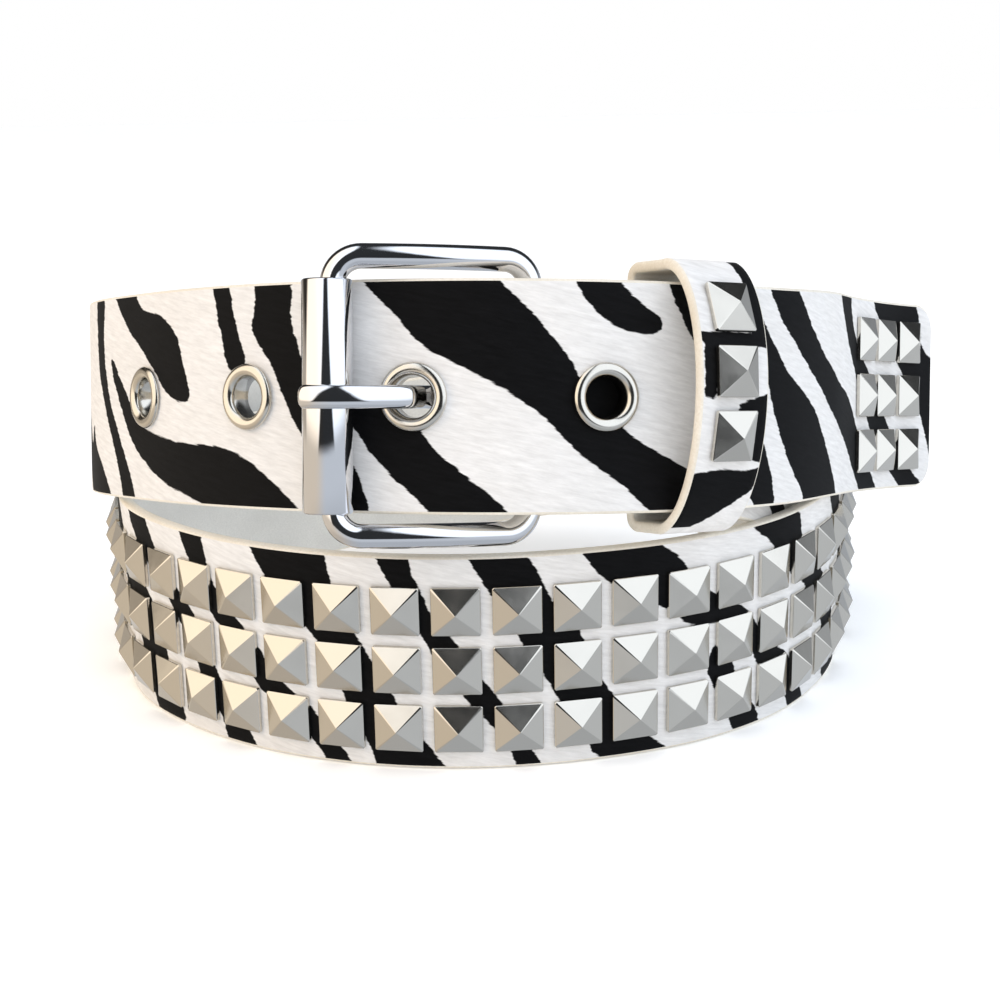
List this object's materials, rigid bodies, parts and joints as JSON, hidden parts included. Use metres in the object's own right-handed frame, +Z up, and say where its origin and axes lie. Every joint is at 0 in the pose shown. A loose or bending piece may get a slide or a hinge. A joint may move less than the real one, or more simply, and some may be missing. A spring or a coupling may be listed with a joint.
{
  "type": "studded belt",
  "caption": "Zebra-print strap wound in a coil and fastened by a roller buckle, with pyramid studs, punched eyelets and a studded keeper.",
  "frame": {"origin": "on the floor, under the middle of the whole belt's box", "axes": "+Z up, the buckle and the upper turn's front face -Y, the strap's tip points to +X"},
  "size_m": [0.177, 0.1492, 0.0898],
  "materials": {
    "hide": "short-haired white hide printed with black zebra stripes, off-white back and cut edges; the fused stud field is nickel-plated",
    "stud_metal": "nickel-plated, slightly soft polish",
    "eyelet_metal": "nickel-plated, polished",
    "buckle_metal": "bright chrome plate"
  },
  "bodies": {
    "belt": {"strap": "hide", "tip_stud_1": "stud_metal", "tip_stud_2": "stud_metal", "tip_stud_3": "stud_metal", "tip_stud_4": "stud_metal", "tip_stud_5": "stud_metal", "tip_stud_6": "stud_metal", "tip_stud_7": "stud_metal", "tip_stud_8": "stud_metal", "tip_stud_9": "stud_metal", "eyelet_1": "eyelet_metal", "eyelet_2": "eyelet_metal", "eyelet_3": "eyelet_metal", "eyelet_4": "eyelet_metal", "keeper": "hide", "keeper_stud_1": "stud_metal", "keeper_stud_2": "stud_metal", "keeper_stud_3": "stud_metal", "buckle_frame": "buckle_metal", "buckle_tongue": "buckle_metal"},
    "roller": {"buckle_roller": "buckle_metal"}
  },
  "joints": [
    {"name": "roller_spin", "type": "hinge", "parent": "belt", "child": "roller", "pos_m": [-0.03062, -0.06702, 0.06583], "axis": [0.0205, 0.1906, 0.9815], "continuous": true}
  ]
}
